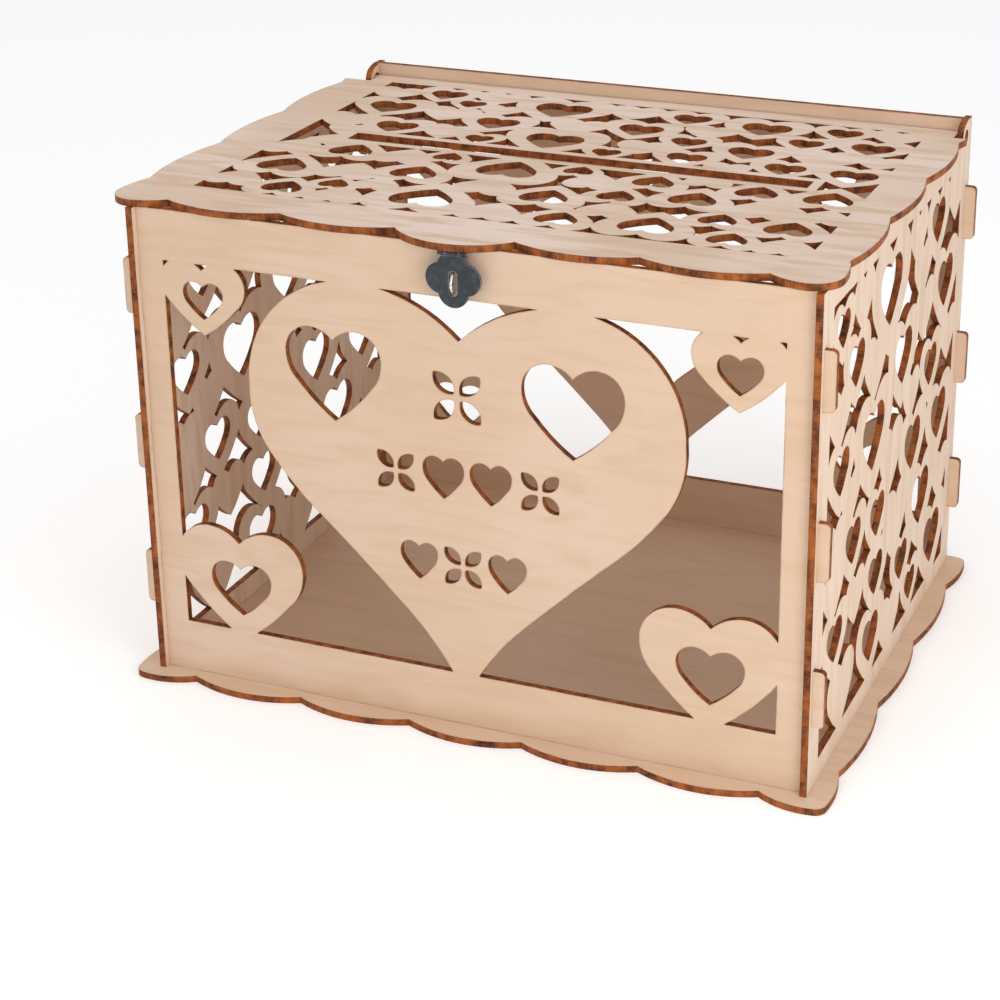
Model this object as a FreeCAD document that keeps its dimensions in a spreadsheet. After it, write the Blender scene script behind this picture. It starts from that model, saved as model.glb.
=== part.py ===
import FreeCAD, Part
import math
import operator
import os
from types import SimpleNamespace

import Sketcher
from FreeCAD import Placement, Rotation, Vector

# A wedding card box of 3 mm plywood: base plate, four fretwork walls, hinged lid, hasp and staple.
# Frame: X across the front, Y from front to back, Z up, origin under the middle of the base plate.
# A flat panel is drawn in its own plane (X along it, Y up it, Z through it) and then placed.

DOC = FreeCAD.newDocument("card_box")
SHEET = DOC.addObject("Spreadsheet::Sheet", "sizes")

SIZES = {
    # the boards and the box
    "ply": 3.0,                   # thickness of every board
    "box_width": 300.0,           # over the outer faces of the side walls
    "box_depth": 236.0,           # from the front edge to the rear edge of a side wall
    "wall_height": 214.0,         # from the top of the base plate to the underside of the lid
    "ear_rise": 8.8,              # rear ears and back wall above the underside of the lid
    "front_inset": 3.0,           # front wall behind the front edges of the side walls
    "back_inset": 3.2,            # back wall in front of the rear edges of the side walls
    # the tabs of the front and back walls, and their slots
    "tab_tall": 25.0,
    "tab_low": 43.2,              # heights of the middles of the three tabs on each edge
    "tab_middle": 107.5,
    "tab_high": 178.6,
    "tab_proud": 5.0,             # how far a tab stands out of the side wall
    "tab_round": 2.0,
    "foot_offset": 66.2,          # middle of each foot tab from the middle of the wall
    "foot_wide": 25.0,
    "slot_gap": 0.1,              # clearance all round a tab in its slot
    # the base plate
    "base_side_lip": 10.0,        # crests of the scallops beyond the walls
    "base_front_lip": 8.0,
    "base_rear_lip": 4.0,
    "base_front_dip": 6.0,        # depth of the cusps between the scallops
    "base_side_dip": 3.5,
    "base_front_corner": 29.6,    # lengths of the two halves of a corner scallop
    "base_side_corner": 32.0,
    "base_corner_round": 5.0,
    # the openings of the walls
    "side_stile": 14.8,
    "side_rail": 10.0,
    "wall_stile": 11.6,
    "wall_sill": 24.3,
    "wall_head": 22.1,            # from the top of the opening to the underside of the lid
    # the lid
    "lid_setback": 1.2,           # crests of the front scallops behind the edges of the side walls
    "lid_side_lip": 7.8,          # crests of the side scallops beyond the side walls, but for the shift
    "lid_shift": 3.6,             # scallops of the lid to the left of the middle of the box
    "lid_front_dip": 6.3,
    "lid_side_dip": 3.6,
    "lid_nose": 5.8,              # crest of the middle front scallop in front of the other crests
    "lid_front_corner": 27.6,
    "lid_side_corner": 31.4,
    "lid_corner_round": 12.0,
    "lid_tail": 8.0,              # wide part of the lid behind its last side cusp
    "lid_tail_flare": 1.7,
    "lid_shoulder": 6.5,          # narrow part of the lid in front of its pegs
    "lid_side_play": 0.7,         # between the narrow part and each side wall
    "lid_rear_gap": 0.3,          # between the turning edge of the lid and the back wall
    "lid_stile": 23.6,            # opening of the lid from its side crests
    "lid_rear_rail": 11.4,
    "lid_opening_deep": 188.8,
    "slot_long": 215.0,           # slot for the cards, in the middle of the opening
    "slot_wide": 10.5,
    "slot_border": 4.6,
    # the hinge of the lid: square pegs that turn in round holes of the ears
    "peg_wide": 5.6,
    "peg_gap": 0.07,              # radial clearance at the corners of a peg
    "peg_short": 0.4,             # end of a peg inside the outer face of the side wall
    "ear_rim": 3.2,               # wood round the hole
    "ear_flat": 2.5,              # start of the ear's flat top, behind the middle of the hole
    # the hasp
    "hasp_forward": 4.6,          # its axis in front of the front wall
    "hasp_drop": 1.35,            # its axis below the lid
    "hasp_thick": 1.0,
    "lobe_radius": 6.6,
    "lobe_offset": 5.4,
    "hasp_middle": 10.75,         # middle of the four lobes below the axis
    "hasp_slot_wide": 3.6,
    "hasp_slot_long": 10.6,
    "knuckle": 1.15,              # outer radius of the knuckles
    "knuckle_gap": 0.15,
    "neck_half": 3.0,
    "pin": 0.5,                   # radius of the hinge pin
    "pin_gap": 0.03,              # radial clearance of the pin in the hasp
    "pin_long": 12.6,
    "leaf": 0.8,
    "leaf_wide": 16.0,
    "leaf_deep": 4.0,
    "leaf_notch": 1.5,
    "nail_apart": 11.0,
    "nail_back": 2.5,             # nails behind the axis of the hasp
    "nail_shank": 0.5,
    "nail_grip": 2.4,             # depth of the nails in the lid
    "nail_head": 1.1,
    "nail_head_tall": 0.6,
    # the staple
    "wire": 0.6,                  # radius of its wire
    "wire_gap": 0.02,
    "bend": 4.3,                  # radius of its half ring
    "staple_low": 14.0,           # middle of the staple below the lid
    "staple_forward": 2.7,        # middle of the half ring in front of the front wall
    "staple_tail": 0.8,           # ends of the wire behind the front wall
}


# ---------------------------------------------------------------- sizes and formulas

OPERATIONS = {"+": operator.add, "-": operator.sub, "*": operator.mul, "/": operator.truediv}


class Size:
    """A length known both as a number and as the formula that gives it on the sheet."""

    def __init__(self, number, formula=None):
        self.number = float(number)
        self.formula = formula or repr(float(number))

    def __add__(self, other):
        return join(self, "+", other)

    def __radd__(self, other):
        return join(other, "+", self)

    def __sub__(self, other):
        return join(self, "-", other)

    def __rsub__(self, other):
        return join(other, "-", self)

    def __mul__(self, other):
        return join(self, "*", other)

    def __rmul__(self, other):
        return join(other, "*", self)

    def __truediv__(self, other):
        return join(self, "/", other)

    def __neg__(self):
        return join(0, "-", self)


def sized(item):
    """The item itself when it is a Size, otherwise a Size of that fixed number."""
    return item if isinstance(item, Size) else Size(item)


def join(first, sign, second):
    """Two lengths or numbers joined by an arithmetic sign."""
    first, second = sized(first), sized(second)
    return Size(OPERATIONS[sign](first.number, second.number),
                "(%s %s %s)" % (first.formula, sign, second.formula))


def root(item):
    """Square root of a length."""
    return Size(math.sqrt(item.number), "sqrt(%s)" % item.formula)


for row, (alias, start_value) in enumerate(SIZES.items(), start=1):
    SHEET.set("A%d" % row, alias)
    SHEET.set("B%d" % row, str(start_value))
    SHEET.setAlias("B%d" % row, alias)
DOC.recompute()
S = SimpleNamespace(**{alias: Size(SHEET.get(alias), "sizes." + alias) for alias in SIZES})

# Places that several pieces share. "From front" is measured from the front edges of the side walls.
FRONT_EDGE = (S.base_front_lip - S.base_rear_lip - S.box_depth) / 2
INNER_HALF = S.box_width / 2 - S.ply
FRONT_WALL = S.front_inset
BACK_WALL = S.box_depth - S.back_inset - S.ply
PEG_RADIUS = root(S.peg_wide * S.peg_wide + S.ply * S.ply) / 2
PIVOT_FROM_FRONT = BACK_WALL - S.lid_rear_gap - PEG_RADIUS
PIVOT_UP = S.wall_height + S.ply / 2
HASP_FROM_FRONT = FRONT_WALL - S.hasp_forward

FLAT = Rotation()
FACING_FRONT = Rotation(Vector(1, 0, 0), 90)
FACING_SIDE = Rotation(Vector(1, 1, 1), 120)
ALONG_X = Rotation(Vector(0, 1, 0), 90)
BENT_FORWARD = Rotation(Vector(0, 0, 1), Vector(0, -1, 0), Vector(1, 0, 0), "XYZ")

PIECES = []


# ---------------------------------------------------------------- sketches and features

def bind(thing, target, length):
    """Bind a property to the formula of a length."""
    thing.setExpression(target, sized(length).formula)


def put(thing, x=0, y=0, z=0, turn=FLAT):
    """Place a thing at bound coordinates."""
    thing.Placement = Placement(Vector(), turn)
    for axis, length in (("x", x), ("y", y), ("z", z)):
        bind(thing, "Placement.Base." + axis, length)


def keep(thing, label):
    """Give a finished piece the name of its node."""
    thing.Label = label
    PIECES.append(thing)


def new_sketch(body, name, plane_role="XY_Plane", lift=0):
    """A sketch on one of the body's own planes, raised by a bound lift."""
    plane = [part for part in body.Origin.OriginFeatures if part.Role == plane_role][0]
    drawn = body.newObject("Sketcher::SketchObject", name)
    drawn.AttachmentSupport = (plane, [""])
    drawn.MapMode = "FlatFace"
    bind(drawn, "AttachmentOffset.Base.z", lift)
    return drawn


def dimension(drawn, kind, places, length):
    """A dimension of a sketch, bound to the sheet."""
    number = drawn.addConstraint(Sketcher.Constraint(kind, *places, length.number))
    bind(drawn, "Constraints[%d]" % number, length)


def fix_point(drawn, geometry, position, x, y):
    """Hold a point of the sketch at bound coordinates."""
    dimension(drawn, "DistanceX", (-1, 1, geometry, position), sized(x))
    dimension(drawn, "DistanceY", (-1, 1, geometry, position), sized(y))


def outline(drawn, stops):
    """A closed anticlockwise outline of (x, y, dip); a dip bulges the edge after its stop outwards."""
    first = drawn.GeometryCount
    stops = [(sized(x), sized(y), dip) for x, y, dip in stops]
    centres = []
    for index, (x, y, dip) in enumerate(stops):
        end_x, end_y, _ = stops[(index + 1) % len(stops)]
        start, end = Vector(x.number, y.number, 0), Vector(end_x.number, end_y.number, 0)
        if dip is None:
            drawn.addGeometry(Part.LineSegment(start, end), False)
            continue
        step_x, step_y = end_x - x, end_y - y
        chord = root(step_x * step_x + step_y * step_y)
        inwards = (chord / dip / 8 - dip / chord / 2)
        centre_x, centre_y = (x + end_x) / 2 - step_y * inwards, (y + end_y) / 2 + step_x * inwards
        crest = dip / chord
        top = Vector(((x + end_x) / 2 + step_y * crest).number, ((y + end_y) / 2 - step_x * crest).number, 0)
        drawn.addGeometry(Part.Arc(start, top, end), False)
        if abs(step_x.number) > abs(step_y.number):
            centres.append(("DistanceY", first + index, centre_y))
        else:
            centres.append(("DistanceX", first + index, centre_x))
    for index in range(len(stops)):
        following = (index + 1) % len(stops)
        drawn.addConstraint(Sketcher.Constraint("Coincident", first + index, 2, first + following, 1))
    for index, (x, y, _) in enumerate(stops):
        fix_point(drawn, first + index, 1, x, y)
    for kind, geometry, place in centres:
        dimension(drawn, kind, (-1, 1, geometry, 3), place)


def rectangle(drawn, left, bottom, width, height):
    """A rectangle from its lower left corner."""
    right, top = left + width, bottom + height
    outline(drawn, [(left, bottom, None), (right, bottom, None), (right, top, None), (left, top, None)])


def circle(drawn, x, y, radius):
    """A circle with a bound centre and radius."""
    first = drawn.addGeometry(Part.Circle(Vector(sized(x).number, sized(y).number, 0), Vector(0, 0, 1),
                                          radius.number), False)
    fix_point(drawn, first, 3, x, y)
    dimension(drawn, "Radius", (first,), radius)


def pad(body, drawn, thick):
    """Pad a sketch along its normal."""
    made = body.newObject("PartDesign::Pad", drawn.Name + "_pad")
    made.Profile = drawn
    bind(made, "Length", thick)
    DOC.recompute()


def pocket(body, drawn, depth=None):
    """Cut a sketch out along its normal, to a depth or through everything."""
    before = body.Shape.Volume
    made = body.newObject("PartDesign::Pocket", drawn.Name + "_cut")
    made.Profile = drawn
    made.Reversed = True
    if depth is None:
        made.Type = "ThroughAll"
    else:
        bind(made, "Length", depth)
    DOC.recompute()
    if body.Shape.Volume > before - 1e-3:
        raise RuntimeError("%s cuts nothing" % drawn.Name)


def round_corners(body, radius, wanted):
    """Round the edges that stand along Z where wanted(x, y) holds."""
    names = []
    for number, edge in enumerate(body.Shape.Edges, start=1):
        low, high = edge.Vertexes[0].Point, edge.Vertexes[-1].Point
        upright = math.hypot(low.x - high.x, low.y - high.y) < 1e-6 < abs(low.z - high.z)
        if upright and wanted(low.x, low.y):
            names.append("Edge%d" % number)
    before = body.Tip
    made = body.newObject("PartDesign::Fillet", body.Name + "_round")
    made.Base = (before, names)
    bind(made, "Radius", radius)
    DOC.recompute()


def cylinder(name, radius, height, x=0, y=0, z=0, turn=FLAT):
    """A bound cylinder."""
    made = DOC.addObject("Part::Cylinder", name)
    bind(made, "Radius", radius)
    bind(made, "Height", height)
    put(made, x, y, z, turn)
    return made


def fused(name, parts):
    """Several solids fused."""
    made = DOC.addObject("Part::MultiFuse", name)
    made.Shapes = parts
    made.Refine = True
    return made


# ---------------------------------------------------------------- hearts and petals

# Right halves of hearts one unit wide and one unit tall, from notch to point. Each pair of steps is
# one arc. Round hearts make up the lattices, slender hearts the middles of the front and back walls.
ROUND_HALF = [(0.0, 0.375), (0.122, 0.473), (0.243, 0.5), (0.425, 0.41), (0.5, 0.194),
              (0.469, 0.026), (0.383, -0.111), (0.204, -0.323), (0.0, -0.5)]
SLENDER_HALF = [(0.0, 0.394), (0.111, 0.472), (0.238, 0.5), (0.406, 0.439), (0.5, 0.222),
                (0.484, 0.106), (0.448, 0.039), (0.396, -0.028), (0.332, -0.094), (0.231, -0.194),
                (0.135, -0.294), (0.057, -0.394), (0.0, -0.5)]


def heart(across, up, width, height, point=-1, shape=ROUND_HALF):
    """A heart-shaped face; its point looks down, or up when point is 1."""
    half = [(x * width, -point * y * height) for x, y in shape]
    loop = half + [(-x, y) for x, y in reversed(half[:-1])]
    corners = [Vector(across + x, up + y, 0) for x, y in loop]
    arcs = [Part.Arc(*corners[index:index + 3]).toShape() for index in range(0, len(corners) - 1, 2)]
    return Part.Face(Part.Wire(arcs))


def hearts(places, origin, stretch, point=-1, shape=ROUND_HALF):
    """Heart faces from (across, up, width, height), stretched and moved to an origin."""
    return [heart(origin[0] + across * stretch[0], origin[1] + up * stretch[1],
                  width * stretch[0], height * stretch[1], point, shape)
            for across, up, width, height in places]


def blossom(across, up, reach):
    """Four leaf-shaped faces round a middle."""
    inner, middle, wide = Vector(0.14 * reach, 0, 0), 0.57 * reach, 0.25 * reach
    tip = Vector(reach, 0, 0)
    leaf = Part.Face(Part.Wire([Part.Arc(inner, Vector(middle, -wide, 0), tip).toShape(),
                                Part.Arc(tip, Vector(middle, wide, 0), inner).toShape()]))
    leaves = []
    for quarter in range(4):
        turned = leaf.copy()
        turned.Placement = Placement(Vector(across, up, 0), Rotation(Vector(0, 0, 1), 45 + 90 * quarter))
        leaves.append(turned)
    return leaves


def block(left, bottom, width, height):
    """A rectangular face."""
    return Part.makePlane(width, height, Vector(left, bottom, 0))


OPEN_SHARE = 0.55     # width of a heart's hole, as a share of the heart
HEART_TALL = 0.85     # height of a heart, as a share of its width
SLIVER = 3.0          # gaps smaller than this many square millimetres stay closed


def lattice(open_hearts, whole_hearts, lowered):
    """Wood and holes of a lattice, each a list of (across, up, width, height)."""
    wood = [(across, up, width, width * HEART_TALL) for across, up, width in whole_hearts]
    for across, up, hole in open_hearts:
        width = hole / OPEN_SHARE
        wood.append((across, up - lowered * width, width, width * HEART_TALL))
    holes = [(across, up, hole, hole * HEART_TALL) for across, up, hole in open_hearts]
    return wood, holes


def fretwork(body, label, window, wood, holes):
    """A panel: its board without the gaps of the window between the wood, and without the holes."""
    filled = wood[0].multiFuse(wood[1:])
    gaps = [face for face in window.cut(filled).Faces if face.Area > SLIVER]
    opened = gaps[0].multiFuse(gaps[1:] + holes)
    prisms = [face.extrude(Vector(0, 0, S.ply.number + 2)) for face in opened.Faces]
    tool = DOC.addObject("Part::Feature", body.Name + "_gaps")
    tool.Shape = Part.makeCompound(prisms)
    tool.Placement = Placement(Vector(0, 0, -1), FLAT)
    panel = DOC.addObject("Part::Cut", body.Name + "_fretwork")
    panel.Base = body
    panel.Tool = tool
    keep(panel, label)
    return panel


# ---------------------------------------------------------------- base plate

def base_plate():
    """Scalloped plate with slots for the foot tabs of the front and back walls."""
    half_wide = S.box_width / 2 + S.base_side_lip
    half_deep = (S.box_depth + S.base_front_lip + S.base_rear_lip) / 2
    cusp_x, cusp_y = half_wide - S.base_side_dip, half_deep - S.base_front_dip
    start_x, start_y = half_wide - S.base_front_corner, half_deep - S.base_side_corner
    corner = S.base_side_dip * 0.45
    corner_x, corner_y = half_wide - corner, half_deep - corner
    front_dips = S.base_front_dip * 0.53
    side_dips = S.base_side_dip * 0.6
    across = [start_x * (2 * step / 5 - 1) for step in range(6)]
    along = [start_y * (2 * step / 3 - 1) for step in range(4)]

    stops = [(x, -cusp_y, S.base_front_dip) for x in across[:-1]] + [(across[-1], -cusp_y, front_dips)]
    stops += [(corner_x, -corner_y, side_dips)]
    stops += [(cusp_x, y, S.base_side_dip) for y in along[:-1]] + [(cusp_x, along[-1], side_dips)]
    stops += [(corner_x, corner_y, front_dips)]
    stops += [(-x, cusp_y, S.base_front_dip) for x in across[:-1]] + [(-across[-1], cusp_y, front_dips)]
    stops += [(-corner_x, corner_y, side_dips)]
    stops += [(-cusp_x, -y, S.base_side_dip) for y in along[:-1]] + [(-cusp_x, -along[-1], side_dips)]
    stops += [(-corner_x, -corner_y, front_dips)]

    body = DOC.addObject("PartDesign::Body", "base_board")
    edge = new_sketch(body, "base_outline")
    outline(edge, stops)
    pad(body, edge, S.ply)
    reach = corner_x.number - 1
    round_corners(body, S.base_corner_round, lambda x, y: abs(x) > reach and abs(y) > corner_y.number - 1)

    slots = new_sketch(body, "base_slots")
    for wall in (FRONT_WALL, BACK_WALL):
        for side in (-1, 1):
            rectangle(slots, side * S.foot_offset - S.foot_wide / 2 - S.slot_gap,
                      FRONT_EDGE + wall - S.slot_gap, S.foot_wide + 2 * S.slot_gap,
                      S.ply + 2 * S.slot_gap)
    pocket(body, slots)
    put(body)
    keep(body, "base_plate")


# ---------------------------------------------------------------- side walls

# Hearts of the side lattice as (across from the front of the opening, up from its sill, width).
# They fill an opening of SIDE_DRAWN and are stretched to the real one. Open hearts give the width
# of their hole, whole hearts their own width.
SIDE_DRAWN = (206.4, 194.0)
SIDE_OPEN_HEARTS = [
    (14.7, 180.0, 17.5), (36.2, 158.0, 22), (86.2, 172.0, 34), (165.2, 179.0, 23), (184.2, 145.0, 27),
    (112.2, 134.0, 28), (18.7, 118.0, 22.5), (67.2, 114.0, 33), (163.2, 112.0, 22), (136.2, 84.0, 27),
    (184.2, 80.0, 27), (41.2, 78.0, 22), (79.2, 74.0, 22), (156.2, 50.0, 30), (18.2, 44.0, 22),
    (80.2, 46.0, 22), (125.2, 32.0, 21), (76.2, 17.0, 25), (144.2, 12.0, 18), (183.2, 18.0, 29),
]
SIDE_WHOLE_HEARTS = [
    (30.7, 14.0, 40), (48.2, 50.0, 29), (13.7, 67.5, 31), (13.7, 86.5, 30), (111.2, 57.5, 43),
    (108.2, 9.5, 36), (194.2, 47.0, 31), (14.2, 143.0, 32), (43.5, 182.3, 30), (130.2, 182.5, 30),
    (140.7, 164.8, 32), (197.2, 183.0, 30), (65.7, 146.8, 35), (147.2, 143.5, 33), (195.2, 116.3, 30),
    (98.7, 93.0, 38), (129.7, 110.0, 28), (35.2, 100.5, 29),
]


def side_wall(name, label, inner_face):
    """Side wall with its lattice, the slots for the tabs and the ear that carries a lid peg."""
    body = DOC.addObject("PartDesign::Body", name)
    board = new_sketch(body, name + "_outline")
    flat_front, ear_top = PIVOT_FROM_FRONT + S.ear_flat, S.wall_height + S.ear_rise
    rim = PEG_RADIUS + S.peg_gap + S.ear_rim
    slope_front, slope_top = PIVOT_FROM_FRONT - rim * 0.25, PIVOT_UP + rim * 0.968
    outline(board, [(0, 0, None), (S.box_depth, 0, None), (S.box_depth, ear_top, None),
                    (flat_front, ear_top, None), (slope_front, slope_top, None),
                    (slope_front, S.wall_height, None), (0, S.wall_height, None)])
    pad(body, board, S.ply)
    boss = new_sketch(body, name + "_boss")
    circle(boss, PIVOT_FROM_FRONT, PIVOT_UP, rim)
    pad(body, boss, S.ply)
    cuts = new_sketch(body, name + "_slots")
    circle(cuts, PIVOT_FROM_FRONT, PIVOT_UP, PEG_RADIUS + S.peg_gap)
    for wall in (FRONT_WALL, BACK_WALL):
        for middle in (S.tab_low, S.tab_middle, S.tab_high):
            rectangle(cuts, wall - S.slot_gap, middle - S.tab_tall / 2 - S.slot_gap,
                      S.ply + 2 * S.slot_gap, S.tab_tall + 2 * S.slot_gap)
    pocket(body, cuts)

    stile, rail = S.side_stile.number, S.side_rail.number
    long, tall = S.box_depth.number - 2 * stile, S.wall_height.number - 2 * rail
    stretch = (long / SIDE_DRAWN[0], tall / SIDE_DRAWN[1])
    wood, holes = lattice(SIDE_OPEN_HEARTS, SIDE_WHOLE_HEARTS, lowered=0.035)
    panel = fretwork(body, label, block(stile, rail, long, tall),
                     hearts(wood, (stile, rail), stretch), hearts(holes, (stile, rail), stretch))
    put(panel, inner_face, FRONT_EDGE, S.ply, FACING_SIDE)


# ---------------------------------------------------------------- front and back walls

# Hearts of the front and back walls as (across from the middle, up from the sill, width, height).
WALL_DRAWN = (270.8, 167.6)
WALL_WOOD = [(-107.3, 22.1, 61, 53), (107.3, 22.1, 61, 53),
             (-117.3, 152.8, 40, 32.8), (117.3, 152.8, 40, 32.8)]
WALL_HOLES = [(-107.3, 20.1, 29.2, 25.1), (107.3, 20.1, 29.2, 25.1),
              (-117.3, 151.6, 18.8, 16.3), (117.3, 151.6, 18.8, 16.3)]
FRONT_HOLES = [(-57.5, 127.2, 43.6, 40.3), (48.4, 125.5, 44, 39.6),
               (-8.9, 89, 18.5, 18.5), (12.3, 89, 18.5, 18.5), (-21, 49.7, 17, 17), (19, 49.7, 17, 17)]
FRONT_HEART = [(-0.8, 78.7, 193.5, 180)]
FRONT_BLOSSOMS = [(-2, 125.2, 14.5), (-30.5, 89, 11.5), (34, 89, 11.5), (-1, 49.7, 11.5)]
BACK_HEART = [(-4, 78.7, 193.5, 180)]
BACK_HEART_HOLE = [(-4, 87.2, 139, 110)]


def cross_board(name, height):
    """Board of the front or back wall: three tabs on each edge and two feet through the base plate."""
    body = DOC.addObject("PartDesign::Body", name)
    board = new_sketch(body, name + "_outline")
    rectangle(board, -INNER_HALF, sized(0), 2 * INNER_HALF, height)
    pad(body, board, S.ply)
    reach = S.box_width / 2 + S.tab_proud
    tabs = new_sketch(body, name + "_tabs")
    for middle in (S.tab_low, S.tab_middle, S.tab_high):
        rectangle(tabs, -reach, middle - S.tab_tall / 2, 2 * reach, S.tab_tall)
    for side in (-1, 1):
        rectangle(tabs, side * S.foot_offset - S.foot_wide / 2, -S.ply, S.foot_wide, 2 * S.ply)
    pad(body, tabs, S.ply)
    round_corners(body, S.tab_round, lambda x, y: abs(x) > reach.number - 0.01)
    return body


def cross_wall(body, label, from_front, middle_heart, cuts):
    """Cut the hearts of a front or back wall and place it; cuts(origin, stretch) gives its own holes."""
    long = 2 * (INNER_HALF - S.wall_stile).number
    sill = S.wall_sill.number
    tall = (S.wall_height - S.wall_head).number - sill
    stretch = (long / WALL_DRAWN[0], tall / WALL_DRAWN[1])
    origin = (0, sill)
    wood = (hearts(middle_heart, origin, stretch, shape=SLENDER_HALF)
            + hearts(WALL_WOOD, origin, stretch))
    holes = hearts(WALL_HOLES, origin, stretch) + cuts(origin, stretch)
    panel = fretwork(body, label, block(-long / 2, sill, long, tall), wood, holes)
    put(panel, 0, FRONT_EDGE + from_front + S.ply, S.ply, FACING_FRONT)


def front_cuts(origin, stretch):
    """Holes in the middle heart of the front wall."""
    holes = hearts(FRONT_HOLES, origin, stretch)
    for across, up, reach in FRONT_BLOSSOMS:
        holes += blossom(origin[0] + across * stretch[0], origin[1] + up * stretch[1],
                         reach * min(stretch))
    return holes


def back_cuts(origin, stretch):
    """The hole that makes a ring of the back wall's middle heart."""
    return hearts(BACK_HEART_HOLE, origin, stretch, shape=SLENDER_HALF)


def front_wall():
    """Front wall, with two bores for the legs of the staple."""
    body = cross_board("front_board", S.wall_height)
    bores = new_sketch(body, "staple_bores")
    for side in (-1, 1):
        circle(bores, 0, S.wall_height - S.staple_low + side * S.bend, S.wire + S.wire_gap)
    pocket(body, bores)
    cross_wall(body, "front_panel", FRONT_WALL, FRONT_HEART, front_cuts)


def back_wall():
    """Back wall, which stands between the ears as high as they do."""
    body = cross_board("back_board", S.wall_height + S.ear_rise)
    cross_wall(body, "back_panel", BACK_WALL, BACK_HEART, back_cuts)


# ---------------------------------------------------------------- lid

# Hearts of the rear half of the lid as (across, behind the middle of the slot, width); the front
# half is its mirror image.
LID_DRAWN = (268.4, 188.8)
LID_OPEN_HEARTS = [
    (-98.1, 81.2, 18), (-80.2, 69.5, 13.3), (-114.0, 51.4, 22.6), (-36.2, 73.9, 27.5),
    (-55.6, 42.0, 20.8), (-96.6, 20.6, 20), (-52.4, 15.3, 13.3), (-19.8, 23.4, 26.9),
    (26.2, 80.6, 18.3), (10.2, 54.7, 20.9), (63.3, 76.0, 23.3), (98.8, 81.6, 16.6), (37.4, 43.4, 16.3),
    (87.3, 59.2, 16.1), (117.4, 60.9, 19.7), (68.7, 36.1, 20.6), (9.2, 14.7, 13.3), (45.0, 18.7, 18.1),
    (90.3, 17.7, 18.3), (121.0, 16.7, 20.9),
]
LID_WHOLE_HEARTS = [
    (-123.6, 76.2, 26), (-71.5, 84.0, 27), (-2.4, 82.0, 29), (122.8, 83.7, 26), (-82.8, 50.2, 29),
    (-63.0, 63.7, 22), (-123.0, 24.0, 30), (-114.0, 9.2, 23), (-70.3, 21.4, 28), (-18.5, 50.2, 29),
    (41.5, 63.0, 26), (102.5, 39.5, 34), (126.6, 41.4, 24), (21.5, 28.2, 26), (66.5, 9.7, 22),
]


def lid_stops():
    """Stops of the lid's outline, from its front left cusp round to its front left corner."""
    half_wide = S.box_width / 2 + S.lid_side_lip
    cusp_x, cusp_y = half_wide - S.lid_side_dip, S.lid_setback + S.lid_front_dip
    start_x, start_y = half_wide - S.lid_front_corner, S.lid_setback + S.lid_side_corner
    corner = S.lid_side_dip * 0.45
    corner_x, corner_y = half_wide - corner, S.lid_setback + corner
    front_dips, side_dips = S.lid_front_dip * 0.53, S.lid_side_dip * 0.6
    peg_front, peg_rear = PIVOT_FROM_FRONT - S.peg_wide / 2, PIVOT_FROM_FRONT + S.peg_wide / 2
    tail_y = peg_front - S.lid_shoulder
    last_y = tail_y - S.lid_tail
    narrow, peg_end = INNER_HALF - S.lid_side_play, S.box_width / 2 - S.peg_short
    shift, flared = S.lid_shift, cusp_x + S.lid_tail_flare
    along = [start_y + (last_y - start_y) * (step / 3) for step in range(4)]

    stops = []
    for step in range(5):
        dip = S.lid_front_dip + S.lid_nose if step == 2 else S.lid_front_dip
        stops.append((start_x * (2 * step / 5 - 1) - shift, cusp_y, dip))
    stops += [(start_x - shift, cusp_y, front_dips), (corner_x - shift, corner_y, side_dips)]
    stops += [(cusp_x - shift, y, S.lid_side_dip) for y in along[:-1]]
    pegs = [(narrow, tail_y), (narrow, peg_front), (peg_end, peg_front), (peg_end, peg_rear)]
    rear = [(cusp_x - shift, last_y), (flared - shift, tail_y), *pegs]
    rear += [(-x, y) for x, y in reversed(pegs)] + [(-flared - shift, tail_y)]
    stops += [(x, y, None) for x, y in rear]
    stops += [(-cusp_x - shift, y, S.lid_side_dip) for y in reversed(along[1:])]
    stops += [(-cusp_x - shift, start_y, side_dips), (-corner_x - shift, corner_y, front_dips)]
    return stops


def lid_panel():
    """Scalloped lid with the slot for the cards, its lattice and the two hinge pegs."""
    body = DOC.addObject("PartDesign::Body", "lid_board")
    edge = new_sketch(body, "lid_outline")
    outline(edge, lid_stops())
    pad(body, edge, S.ply)
    far = S.box_width.number / 2
    round_corners(body, S.lid_corner_round, lambda x, y: abs(x) > far and y < S.lid_side_corner.number / 2)
    nails = new_sketch(body, "nail_bores")
    for side in (-1, 1):
        circle(nails, side * S.nail_apart / 2, HASP_FROM_FRONT + S.nail_back, S.nail_shank)
    pocket(body, nails, S.nail_grip)

    long = 2 * (S.box_width / 2 + S.lid_side_lip - S.lid_stile).number
    deep = S.lid_opening_deep.number
    rear = (PIVOT_FROM_FRONT + S.peg_wide / 2 - S.lid_rear_rail).number
    middle = rear - deep / 2
    stretch = (long / LID_DRAWN[0], deep / LID_DRAWN[1])
    slot_long, slot_wide, border = S.slot_long.number, S.slot_wide.number, S.slot_border.number
    wood = [block(-slot_long / 2 - border, middle - slot_wide / 2 - border,
                  slot_long + 2 * border, slot_wide + 2 * border)]
    gaps = [block(-slot_long / 2, middle - slot_wide / 2, slot_long, slot_wide)]
    drawn_wood, drawn_holes = lattice(LID_OPEN_HEARTS, LID_WHOLE_HEARTS, lowered=0)
    for half in (-1, 1):
        for drawn, faces in ((drawn_wood, wood), (drawn_holes, gaps)):
            turned = [(across, half * up, width, tall) for across, up, width, tall in drawn]
            faces += hearts(turned, (0, middle), stretch, point=-half)
    panel = fretwork(body, "lid_panel", block(-long / 2, rear - deep, long, deep), wood, gaps)
    put(panel, 0, FRONT_EDGE, S.ply + S.wall_height)


# ---------------------------------------------------------------- hasp, its leaf and the staple

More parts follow.
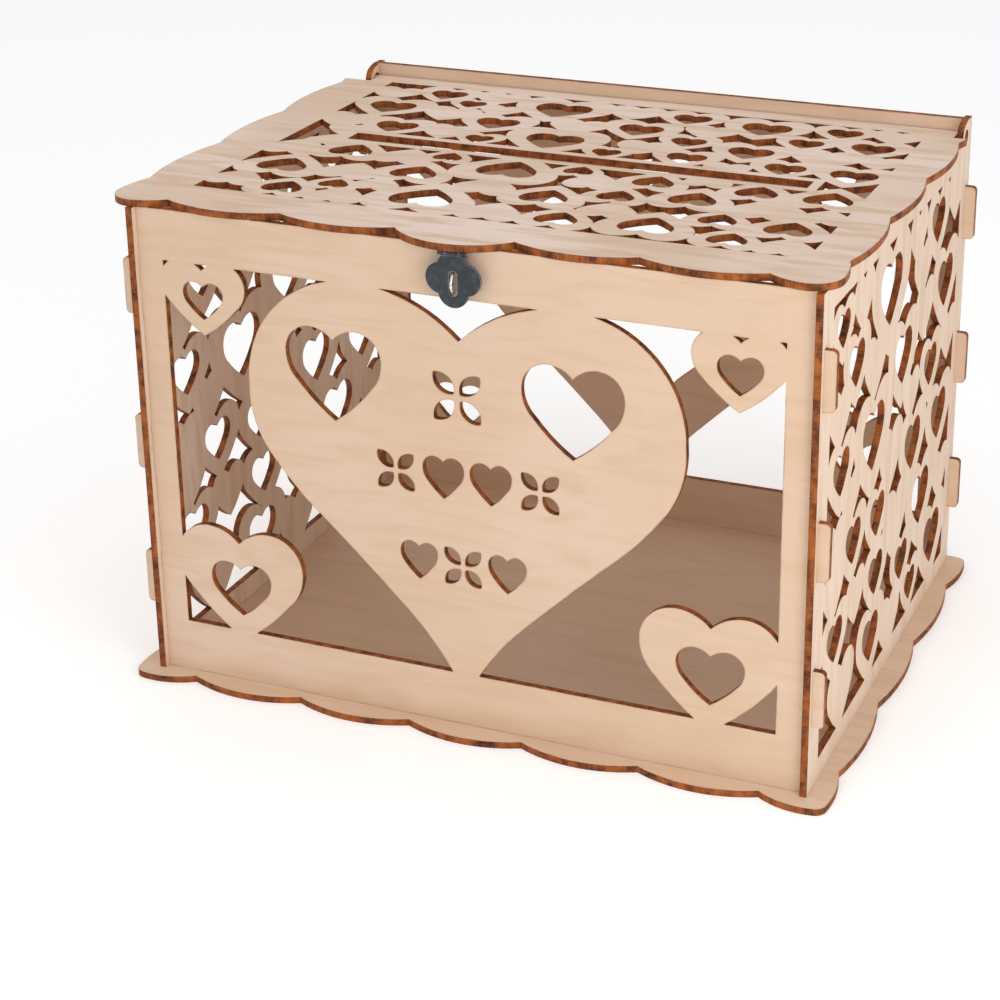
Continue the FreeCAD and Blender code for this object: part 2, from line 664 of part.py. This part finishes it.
def at_hasp_axis(piece):
    """Place a piece that is drawn round the axis of the hasp."""
    put(piece, 0, FRONT_EDGE + HASP_FROM_FRONT, S.ply + S.wall_height - S.hasp_drop)


def hasp_leaf():
    """Leaf under the middle scallop of the lid, with the two outer knuckles."""
    body = DOC.addObject("PartDesign::Body", "leaf_body")
    half, notch = S.leaf_wide / 2, S.neck_half + 2 * S.knuckle_gap
    flat = new_sketch(body, "leaf_outline", lift=S.hasp_drop - S.leaf)
    outline(flat, [(-half, 0, None), (-notch, 0, None), (-notch, S.leaf_notch, None),
                   (notch, S.leaf_notch, None), (notch, 0, None), (half, 0, None),
                   (half, S.leaf_deep, None), (-half, S.leaf_deep, None)])
    pad(body, flat, S.leaf)
    inner = S.neck_half + S.knuckle_gap
    for name, start in (("left_knuckle", -S.pin_long / 2), ("right_knuckle", inner)):
        ring = new_sketch(body, name, "YZ_Plane", start)
        circle(ring, 0, 0, S.knuckle)
        pad(body, ring, S.pin_long / 2 - inner)
    bore = new_sketch(body, "leaf_bore", "YZ_Plane", -half)
    circle(bore, 0, 0, S.pin)
    pocket(body, bore)
    nails = new_sketch(body, "leaf_nail_bores")
    for side in (-1, 1):
        circle(nails, side * S.nail_apart / 2, S.nail_back, S.nail_shank)
    pocket(body, nails)
    at_hasp_axis(body)
    keep(body, "hasp_leaf")


def leaf_nails():
    """Two nails up through the leaf into the lid."""
    under_leaf = S.hasp_drop - S.leaf
    parts = []
    for name, side in (("left", -1), ("right", 1)):
        x = side * S.nail_apart / 2
        parts.append(cylinder(name + "_head", S.nail_head, S.nail_head_tall, x, S.nail_back,
                              under_leaf - S.nail_head_tall))
        parts.append(cylinder(name + "_shank", S.nail_shank, S.leaf + S.nail_grip, x, S.nail_back, under_leaf))
    nails = fused("nails", parts)
    at_hasp_axis(nails)
    keep(nails, "leaf_nails")


def hasp_pin():
    """Pin through all knuckles."""
    pin = cylinder("pin", S.pin, S.pin_long, -S.pin_long / 2, FRONT_EDGE + HASP_FROM_FRONT,
                   S.ply + S.wall_height - S.hasp_drop, ALONG_X)
    keep(pin, "hasp_pin")


def hasp_plate():
    """Four-lobed plate that hangs from the middle knuckle, with the slot for the staple."""
    body = DOC.addObject("PartDesign::Body", "hasp_body")
    back = -S.hasp_thick / 2
    front_lift = {"plane_role": "XZ_Plane", "lift": back}
    reach = root(2 * S.lobe_radius * S.lobe_radius - S.lobe_offset * S.lobe_offset)
    cusp = (S.lobe_offset + reach) / 2
    bulge = S.lobe_offset + S.lobe_radius - cusp
    low, high = -S.hasp_middle - cusp, -S.hasp_middle + cusp
    lobes = new_sketch(body, "hasp_outline", **front_lift)
    outline(lobes, [(-cusp, low, bulge), (cusp, low, bulge), (cusp, high, bulge), (-cusp, high, bulge)])
    pad(body, lobes, S.hasp_thick)
    clear = S.knuckle + S.knuckle_gap
    top = new_sketch(body, "hasp_top", **front_lift)
    rectangle(top, -S.leaf_wide / 2, -clear, S.leaf_wide, 2 * S.lobe_radius)
    pocket(body, top)
    neck = new_sketch(body, "hasp_neck", **front_lift)
    rectangle(neck, -S.neck_half, -2 * clear, 2 * S.neck_half, 2 * clear)
    pad(body, neck, S.hasp_thick)
    ring = new_sketch(body, "hasp_knuckle", "YZ_Plane", -S.neck_half)
    circle(ring, 0, 0, S.knuckle)
    pad(body, ring, 2 * S.neck_half)
    bore = new_sketch(body, "hasp_bore", "YZ_Plane", -S.neck_half)
    circle(bore, 0, 0, S.pin + S.pin_gap)
    pocket(body, bore)
    middle = S.hasp_drop - S.staple_low
    half, straight = S.hasp_slot_wide / 2, (S.hasp_slot_long - S.hasp_slot_wide) / 2
    slot = new_sketch(body, "hasp_slot", **front_lift)
    outline(slot, [(-half, middle - straight, half), (half, middle - straight, None),
                   (half, middle + straight, half), (-half, middle + straight, None)])
    pocket(body, slot)
    at_hasp_axis(body)
    keep(body, "hasp_plate")


def staple():
    """Half ring of wire in front of the front wall, its two legs through the wall."""
    ring = DOC.addObject("Part::Torus", "half_ring")
    bind(ring, "Radius1", S.bend)
    bind(ring, "Radius2", S.wire)
    ring.Angle3 = 180
    long = S.staple_forward + S.ply + S.staple_tail
    legs = [cylinder("%s_leg" % name, S.wire, long, side * S.bend, 0, 0, FACING_FRONT)
            for name, side in (("lower", -1), ("upper", 1))]
    bent = fused("bent_wire", [ring] + legs)
    put(bent, 0, FRONT_EDGE + FRONT_WALL - S.staple_forward, S.ply + S.wall_height - S.staple_low,
        BENT_FORWARD)
    keep(bent, "staple")


# ---------------------------------------------------------------- build, check and write

def write_all():
    """Check every object of the document and write each piece to its own STEP file."""
    DOC.recompute()
    for thing in DOC.Objects:
        if "Invalid" in thing.State or "Error" in thing.State:
            raise RuntimeError("%s does not build" % thing.Label)
    os.makedirs("parts", exist_ok=True)
    for piece in PIECES:
        shape = piece.Shape
        expected = 2 if piece.Label == "leaf_nails" else 1
        if shape.isNull() or not shape.isValid() or len(shape.Solids) != expected:
            raise RuntimeError("%s has %d solids" % (piece.Label, len(shape.Solids)))
        shape.exportStep("parts/%s.step" % piece.Label)


base_plate()
front_wall()
back_wall()
side_wall("left_board", "left_side_panel", -S.box_width / 2)
side_wall("right_board", "right_side_panel", INNER_HALF)
lid_panel()
hasp_leaf()
leaf_nails()
hasp_pin()
hasp_plate()
staple()
write_all()
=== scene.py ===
import math

import bmesh
import bpy
from bpy.props import FloatProperty, FloatVectorProperty, PointerProperty
from mathutils import Matrix, Vector

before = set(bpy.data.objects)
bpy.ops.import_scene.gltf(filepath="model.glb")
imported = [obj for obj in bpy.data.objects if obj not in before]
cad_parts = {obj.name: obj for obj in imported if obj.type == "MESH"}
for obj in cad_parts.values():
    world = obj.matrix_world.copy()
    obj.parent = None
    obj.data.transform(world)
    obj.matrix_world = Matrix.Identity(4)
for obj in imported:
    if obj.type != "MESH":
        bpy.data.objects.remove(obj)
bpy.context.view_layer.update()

bl_info = {
    "name": "Wedding card box",
    "version": (1, 0, 0),
    "blender": (4, 5, 0),
    "location": "3D View > Sidebar > Card box",
    "description": "Finishes a plywood card box with scorched cut edges, its hasp and its staple",
    "category": "Object",
}

MM = 0.001

# Brings the rim to 1 at a square edge, where the eased normal leans 45 degrees.
RIM_GAIN = 1 / (1 - math.cos(math.radians(45)))

# The point that the lamps look at.
LAMP_TARGET = (0, 0, 0.12)

# Each board with the axis through its thickness and the axis along its grain.
BOARDS = {
    "base_plate": ("Z", "X"),
    "front_panel": ("Y", "X"),
    "back_panel": ("Y", "X"),
    "left_side_panel": ("X", "Z"),
    "right_side_panel": ("X", "Z"),
    "lid_panel": ("Z", "X"),
}


# ---------------------------------------------------------------- node trees

class Number:
    """A number socket of a material. Arithmetic on it adds Math nodes."""

    def __init__(self, finish, socket):
        self.finish = finish
        self.socket = socket

    def math(self, operation, *values, clamp=False):
        """A Math node of this socket and further values."""
        settings = {"operation": operation, "use_clamp": clamp}
        return self.finish.number("ShaderNodeMath", settings, dict(enumerate(values)))

    def __add__(self, other):
        return self.math("ADD", self, other)

    def __radd__(self, other):
        return self.math("ADD", other, self)

    def __sub__(self, other):
        return self.math("SUBTRACT", self, other)

    def __rsub__(self, other):
        return self.math("SUBTRACT", other, self)

    def __mul__(self, other):
        return self.math("MULTIPLY", self, other)

    def __rmul__(self, other):
        return self.math("MULTIPLY", other, self)

    def __abs__(self):
        return self.math("ABSOLUTE", self)

    def clamped(self):
        """The number held between 0 and 1."""
        return self.math("ADD", self, 0.0, clamp=True)

    def ramp(self, low, high):
        """0 up to low, 1 from high, and smooth between them."""
        settings = {"interpolation_type": "SMOOTHSTEP"}
        return self.finish.number("ShaderNodeMapRange", settings,
                                  {"Value": self, "From Min": low, "From Max": high})


class Finish:
    """One procedural material and the nodes that make it."""

    def __init__(self, name):
        self.material = bpy.data.materials.new(name)
        self.material.use_nodes = True
        self.tree = self.material.node_tree
        self.tree.nodes.clear()
        self.place = self.node("ShaderNodeTexCoord")

    def node(self, kind, settings=None, inputs=None):
        """A node: its settings first, then the values or links of its sockets."""
        made = self.tree.nodes.new(kind)
        for name, value in (settings or {}).items():
            setattr(made, name, value)
        for key, value in (inputs or {}).items():
            socket = self.socket(made.inputs, key)
            value = value.socket if isinstance(value, Number) else value
            if isinstance(value, bpy.types.NodeSocket):
                self.tree.links.new(value, socket)
            elif socket.type == "RGBA" and len(value) == 3:
                socket.default_value = (*value, 1.0)
            else:
                socket.default_value = value
        return made

    def socket(self, sockets, key):
        """A socket by number, by name or by identifier."""
        if isinstance(key, int):
            return sockets[key]
        for found in sockets:
            if found.identifier == key:
                return found
        return sockets[key]

    def number(self, kind, settings=None, inputs=None, output=0):
        """The number that a new node gives."""
        return Number(self, self.node(kind, settings, inputs).outputs[output])

    def vector(self, operation, *values):
        """The vector that a Vector Math node gives."""
        made = self.node("ShaderNodeVectorMath", {"operation": operation}, dict(enumerate(values)))
        return made.outputs[0]

    def mix(self, share, first, second):
        """Two colours mixed."""
        made = self.node("ShaderNodeMix", {"data_type": "RGBA", "clamp_factor": True},
                         {"Factor_Float": share, "A_Color": first, "B_Color": second})
        return self.socket(made.outputs, "Result_Color")

    def parts(self, vector):
        """The three numbers of a vector."""
        made = self.node("ShaderNodeSeparateXYZ", None, {0: vector})
        return [Number(self, output) for output in made.outputs]

    def noise(self, scale, stretch=(1, 1, 1), detail=2.0, roughness=0.5, distortion=0.0, shift=(0, 0, 0)):
        """Noise over the object's own coordinates, with a scale for each axis in cycles per metre."""
        moved = self.vector("ADD", self.place.outputs["Object"], shift)
        size = [scale * share for share in stretch]
        return self.number("ShaderNodeTexNoise", None,
                           {"Vector": self.vector("MULTIPLY", moved, size), "Scale": 1.0, "Detail": detail,
                            "Roughness": roughness, "Distortion": distortion})

    def rim(self, reach):
        """1 at a sharp edge, falling to 0 at a distance from it."""
        eased = self.node("ShaderNodeBevel", {"samples": 6}, {"Radius": reach}).outputs["Normal"]
        flat = self.node("ShaderNodeNewGeometry").outputs["Normal"]
        along = self.node("ShaderNodeVectorMath", {"operation": "DOT_PRODUCT"}, {0: eased, 1: flat})
        return ((1 - Number(self, along.outputs["Value"])) * RIM_GAIN).clamped()

    def bump(self, height, distance):
        """The normal of a height in units of distance."""
        return self.node("ShaderNodeBump", None,
                         {"Height": height, "Distance": distance, "Strength": 1.0}).outputs["Normal"]

    def surface(self, **inputs):
        """Finish the material as one Principled surface."""
        named = {key.replace("_", " "): value for key, value in inputs.items()}
        shader = self.node("ShaderNodeBsdfPrincipled", None, named)
        self.node("ShaderNodeOutputMaterial", None, {"Surface": shader.outputs[0]})
        return self.material


def plywood(name, through, grain, tone, wood, shift):
    """Birch plywood: pale fine-grained faces, scorched and striped cut edges."""
    finish = Finish(name)
    axes = "XYZ"
    along = [1.0 if axis == grain else 0.0 for axis in axes]
    across = [0.0 if axis in (grain, through) else 1.0 for axis in axes]
    in_plane = [0.0 if axis == through else 1.0 for axis in axes]

    def fibres(lengthwise, crosswise):
        """Cycles per metre for each axis, few along the grain and many across it."""
        return [lengthwise * a + crosswise * c + 0.02 for a, c in zip(along, across)]

    # The faces: broad figure, fine threads, short flecks, rosier patches and the scorched rim.
    figure = finish.noise(1.0, fibres(14, 90), detail=4, distortion=1.8, shift=shift)
    threads = finish.noise(1.0, fibres(45, 1900), detail=3, roughness=0.65, shift=shift)
    flecks = finish.noise(1.0, fibres(190, 1500), detail=1, shift=shift).ramp(0.66, 0.76)
    patches = finish.noise(9.0, in_plane, detail=2, shift=shift)
    face = finish.mix(patches.ramp(0.35, 0.7), tone, wood.pink_tone)
    face = finish.mix(figure.ramp(0.42, 0.7) * 0.8, face, wood.late_tone)
    face = finish.mix(threads.ramp(0.42, 0.75) * wood.grain, face, wood.thread_tone)
    face = finish.mix(flecks * 0.14, face, wood.fleck_tone)
    halo = finish.rim(wood.halo)
    uneven = finish.noise(120.0, in_plane, detail=2, shift=shift)
    face = finish.mix(halo * uneven.ramp(0.2, 0.75), face, wood.halo_tone)

    # The cut edges: fine stripes through the thickness, clouds of scorch and charred border lines.
    normal = finish.parts(finish.place.outputs["Normal"])[axes.index(through)]
    edge = 1 - abs(normal).ramp(0.45, 0.75)
    stripes = finish.noise(1.0, [1700 * share + 60 for share in in_plane], detail=2, roughness=0.6)
    clouds = finish.noise(160.0, detail=4, roughness=0.65, shift=shift)
    cut = finish.mix((0.3 * stripes + 0.9 * clouds).ramp(0.4, 0.78), wood.char_tone, wood.scorch_tone)
    cut = finish.mix(finish.rim(wood.char_line).ramp(0.1, 0.7) * 0.8, cut, wood.char_tone)

    colour = finish.mix(edge, face, cut)
    relief = threads * 0.5 + figure * 0.3 + edge * stripes * 2.0
    return finish.surface(Base_Color=colour, Roughness=(0.62 + 0.14 * edge - 0.08 * threads),
                          Specular_IOR_Level=0.28, Normal=finish.bump(relief, 0.06 * MM))


def dark_steel(name, metal):
    """Blackened polished plate with bright edges, partly rubbed wear and partly a painted highlight, and
    fine scratches.
    """
    finish = Finish(name)
    smudges = finish.noise(260.0, detail=3, roughness=0.6)
    scratches = finish.noise(1.0, (2600, 2600, 160), detail=2)
    # The bright edges are partly wear and partly a painted highlight along every sharp edge.
    wear_and_highlight_mask = finish.rim(metal.wear_and_highlight_width)
    colour = finish.mix(smudges.ramp(0.4, 0.75), metal.plate_tone, metal.plate_bloom)
    colour = finish.mix(wear_and_highlight_mask.ramp(0.25, 0.8), colour, metal.wear_and_highlight_tone)
    return finish.surface(Base_Color=colour, Metallic=1.0,
                          Roughness=(metal.plate_roughness + 0.16 * smudges - 0.06 * wear_and_highlight_mask).clamped(),
                          Normal=finish.bump(scratches + smudges, 0.004 * MM))


def bright_wire(name, metal):
    """Drawn, plated wire with faint lines along it and dull spots."""
    finish = Finish(name)
    spots = finish.noise(700.0, detail=2)
    lines = finish.noise(1.0, (5000, 700, 700), detail=2)
    colour = finish.mix(spots.ramp(0.5, 0.75), metal.wire_tone, metal.wire_shade)
    return finish.surface(Base_Color=colour, Metallic=1.0, Roughness=(0.16 + 0.2 * spots),
                          Normal=finish.bump(lines, 0.006 * MM))


def dress(node, material):
    """Give a node of the frame its material."""
    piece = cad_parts[node]
    for slot in piece.material_slots:
        slot.material = material
    return piece


def soften(piece, width):
    """Round the sharp edges of a metal piece."""
    rounded = piece.modifiers.new("eased edges", "BEVEL")
    rounded.width = width
    rounded.segments = 3
    rounded.limit_method = "ANGLE"
    rounded.angle_limit = math.radians(40)
    rounded.use_clamp_overlap = True
    rounded.harden_normals = True


# ---------------------------------------------------------------- settings

def colour_setting(name, description, default):
    """A colour that a user may change."""
    return FloatVectorProperty(name=name, description=description, subtype="COLOR", size=3,
                               min=0.0, max=1.0, default=default)


def length_setting(name, description, default):
    """A length that a user may change."""
    return FloatProperty(name=name, description=description, unit="LENGTH", subtype="DISTANCE",
                         min=0.0, default=default)


class WoodSettings(bpy.types.PropertyGroup):
    front_tone: colour_setting("Front wall", "Face colour of the front and back walls", (0.70, 0.50, 0.35))
    side_tone: colour_setting("Side walls", "Face colour of the side walls", (0.76, 0.60, 0.48))
    lid_tone: colour_setting("Lid", "Face colour of the lid", (0.84, 0.67, 0.58))
    base_tone: colour_setting("Base", "Face colour of the base plate", (0.72, 0.51, 0.35))
    pink_tone: colour_setting("Pink patches", "Colour of the rosier patches of veneer", (0.73, 0.54, 0.41))
    late_tone: colour_setting("Figure", "Colour of the broad figure of the veneer", (0.66, 0.46, 0.31))
    thread_tone: colour_setting("Threads", "Colour of the fine threads of the grain", (0.68, 0.48, 0.32))
    fleck_tone: colour_setting("Flecks", "Colour of the short flecks", (0.52, 0.34, 0.20))
    halo_tone: colour_setting("Halo", "Scorched rim of the faces beside a cut", (0.26, 0.105, 0.035))
    char_tone: colour_setting("Char", "Darkest colour of a cut edge", (0.062, 0.015, 0.006))
    scorch_tone: colour_setting("Scorch", "Lightest colour of a cut edge", (0.40, 0.11, 0.020))
    grain: FloatProperty(name="Grain", description="Strength of the fine grain", subtype="FACTOR",
                         min=0.0, max=1.0, default=0.30)
    halo: length_setting("Halo width", "Width of the scorched rim of the faces", 1.3 * MM)
    char_line: length_setting("Char line", "Width of the charred lines of a cut edge", 0.4 * MM)


class MetalSettings(bpy.types.PropertyGroup):
    plate_tone: colour_setting("Plate", "Colour of the blackened plate", (0.055, 0.06, 0.07))
    plate_bloom: colour_setting("Plate bloom", "Colour of the plate's lighter clouds", (0.09, 0.095, 0.105))
    # The bright edge colour is partly rubbed metal and partly a painted highlight on the plate's edges.
    wear_and_highlight_tone: colour_setting("Rubbed edge", "Colour of the plate's bright edges", (0.72, 0.72, 0.70))
    wire_tone: colour_setting("Wire", "Colour of the staple and the pin", (0.84, 0.83, 0.80))
    wire_shade: colour_setting("Dull spots", "Colour of the dull spots of the wire", (0.45, 0.42, 0.38))
    plate_roughness: FloatProperty(name="Plate roughness", description="Roughness of the polished plate",
                                   subtype="FACTOR", min=0.0, max=1.0, default=0.22)
    # Width of the bright edges, which are partly wear and partly a painted highlight.
    wear_and_highlight_width: length_setting("Edge wear", "Width of the rubbed edges", 0.35 * MM)
    easing: length_setting("Easing", "Rounding of the edges of the metal pieces", 0.12 * MM)


class StageSettings(bpy.types.PropertyGroup):
    floor_tone: colour_setting("Floor", "Colour of the floor", (0.97, 0.97, 0.97))
    glow: FloatProperty(name="Floor glow", description="Light that the floor itself sends out", min=0.0,
                        default=0.2)
    sky: FloatProperty(name="Sky", description="Strength of the white surroundings", min=0.0, default=0.72)
    key_power: FloatProperty(name="Key lamp", description="Power of the lamp in front on the right",
                             unit="POWER", min=0.0, default=1.5)
    fill_power: FloatProperty(name="Fill lamp", description="Power of the large lamp above",
                              unit="POWER", min=0.0, default=5.0)
    lens: FloatProperty(name="Lens", description="Focal length", unit="CAMERA", default=83.85)
    turn: FloatProperty(name="Turn", description="Turn of the camera round Z", subtype="ANGLE",
                        default=math.radians(22.146))
    tilt: FloatProperty(name="Tilt", description="How far the camera looks down", subtype="ANGLE",
                        default=math.radians(21.183))
    roll: FloatProperty(name="Roll", description="Roll of the camera", subtype="ANGLE",
                        default=math.radians(-0.285))
    place: FloatVectorProperty(name="Place", description="Place of the camera", subtype="TRANSLATION",
                               size=3, default=(0.37033, -0.89999, 0.50203))
    shift: FloatVectorProperty(name="Shift", description="Shift of the camera", size=2,
                               default=(-0.0764, -0.1317))


# ---------------------------------------------------------------- operators

class CARDBOX_OT_boards(bpy.types.Operator):
    """Give the base plate, the four walls and the lid their plywood"""
    bl_idname = "cardbox.boards"
    bl_label = "Plywood boards"

    def execute(self, context):
        wood = context.scene.cardbox_wood
        tones = {"base_plate": wood.base_tone, "lid_panel": wood.lid_tone, "front_panel": wood.front_tone,
                 "back_panel": wood.front_tone}
        for number, (node, (through, grain)) in enumerate(BOARDS.items()):
            tone = tuple(tones.get(node, wood.side_tone))
            shift = (0.37 * number, 0.53 * number, 0.71 * number)
            dress(node, plywood("plywood_" + node, through, grain, tone, wood, shift))
        return {"FINISHED"}


class CARDBOX_OT_hasp(bpy.types.Operator):
    """Give the hasp, its leaf, nails and pin their metal"""
    bl_idname = "cardbox.hasp"
    bl_label = "Hasp"

    def execute(self, context):
        metal = context.scene.cardbox_metal
        dark = dark_steel("blackened_steel", metal)
        for node in ("hasp_plate", "hasp_leaf", "leaf_nails"):
            soften(dress(node, dark), metal.easing)
        soften(dress("hasp_pin", bright_wire("plated_pin", metal)), metal.easing)
        return {"FINISHED"}


class CARDBOX_OT_staple(bpy.types.Operator):
    """Give the staple its plated wire"""
    bl_idname = "cardbox.staple"
    bl_label = "Staple"

    def execute(self, context):
        metal = context.scene.cardbox_metal
        soften(dress("staple", bright_wire("plated_wire", metal)), metal.easing)
        return {"FINISHED"}


class CARDBOX_OT_stage(bpy.types.Operator):
    """Set up the pale floor, the soft light and the camera"""
    bl_idname = "cardbox.stage"
    bl_label = "Stage"

    def execute(self, context):
        stage = context.scene.cardbox_stage
        self.lay_floor(context, stage)
        self.light(context, stage)
        self.aim(context, stage)
        return {"FINISHED"}

    def lay_floor(self, context, stage):
        """A large flat floor of pale paper that glows a little."""
        mesh = bpy.data.meshes.new("floor")
        work = bmesh.new()
        bmesh.ops.create_grid(work, x_segments=8, y_segments=8, size=6.0)
        work.to_mesh(mesh)
        work.free()
        floor = bpy.data.objects.new("floor", mesh)
        context.scene.collection.objects.link(floor)
        finish = Finish("floor_paper")
        mottle = finish.noise(3.0, detail=2)
        tone = tuple(stage.floor_tone)
        colour = finish.mix(mottle * 0.2, tone, tuple(share * 0.99 for share in tone))
        mesh.materials.append(finish.surface(Base_Color=colour, Roughness=0.9, Specular_IOR_Level=0.1,
                                             Emission_Color=(1.0, 1.0, 1.0),
                                             Emission_Strength=stage.glow))

    def light(self, context, stage):
        """White surroundings, a key lamp in front on the right, and a large fill lamp above."""
        world = bpy.data.worlds.new("surroundings")
        world.use_nodes = True
        back = world.node_tree.nodes["Background"]
        back.inputs["Color"].default_value = (1.0, 1.0, 1.0, 1.0)
        back.inputs["Strength"].default_value = stage.sky
        context.scene.world = world
        self.lamp(context, "key_lamp", (0.58, -0.5, 0.3), 0.35, stage.key_power)
        self.lamp(context, "fill_lamp", (-0.1, -0.6, 1.8), 1.2, stage.fill_power)

    def lamp(self, context, name, place, size, power):
        """A square lamp that looks at the box."""
        data = bpy.data.lights.new(name, "AREA")
        data.size = size
        data.energy = power
        made = bpy.data.objects.new(name, data)
        made.location = place
        made.rotation_euler = (Vector(LAMP_TARGET) - Vector(place)).to_track_quat("-Z", "Y").to_euler()
        context.scene.collection.objects.link(made)

    def aim(self, context, stage):
        """The camera at its place."""
        data = bpy.data.cameras.new("camera")
        data.lens = stage.lens
        data.sensor_width = 36.0
        data.shift_x, data.shift_y = stage.shift
        data.clip_end = 20.0
        camera = bpy.data.objects.new("camera", data)
        upright = math.pi / 2 - stage.tilt
        turned = Matrix.Rotation(stage.turn, 3, "Z") @ Matrix.Rotation(upright, 3, "X")
        camera.rotation_euler = (turned @ Matrix.Rotation(stage.roll, 3, "Z")).to_euler()
        camera.location = stage.place
        context.scene.collection.objects.link(camera)
        context.scene.camera = camera
        context.scene.view_settings.view_transform = "Standard"


class CARDBOX_PT_sidebar(bpy.types.Panel):
    """Steps and settings of the card box"""
    bl_label = "Card box"
    bl_idname = "CARDBOX_PT_sidebar"
    bl_space_type = "VIEW_3D"
    bl_region_type = "UI"
    bl_category = "Card box"

    def draw(self, context):
        for group in ("cardbox_wood", "cardbox_metal", "cardbox_stage"):
            settings = getattr(context.scene, group)
            column = self.layout.column()
            for name in settings.__annotations__:
                column.prop(settings, name)
        for step in STEPS:
            self.layout.operator(step.bl_idname)


SETTINGS = {"cardbox_wood": WoodSettings, "cardbox_metal": MetalSettings, "cardbox_stage": StageSettings}
STEPS = (CARDBOX_OT_boards, CARDBOX_OT_hasp, CARDBOX_OT_staple, CARDBOX_OT_stage)


def register():
    for made in (*SETTINGS.values(), *STEPS, CARDBOX_PT_sidebar):
        bpy.utils.register_class(made)
    for name, group in SETTINGS.items():
        setattr(bpy.types.Scene, name, PointerProperty(type=group))


def unregister():
    for name in SETTINGS:
        delattr(bpy.types.Scene, name)
    for made in reversed((*SETTINGS.values(), *STEPS, CARDBOX_PT_sidebar)):
        bpy.utils.unregister_class(made)


def main():
    register()
    bpy.ops.cardbox.boards()
    bpy.ops.cardbox.hasp()
    bpy.ops.cardbox.staple()
    bpy.ops.cardbox.stage()


if __name__ == "__main__":
    main()
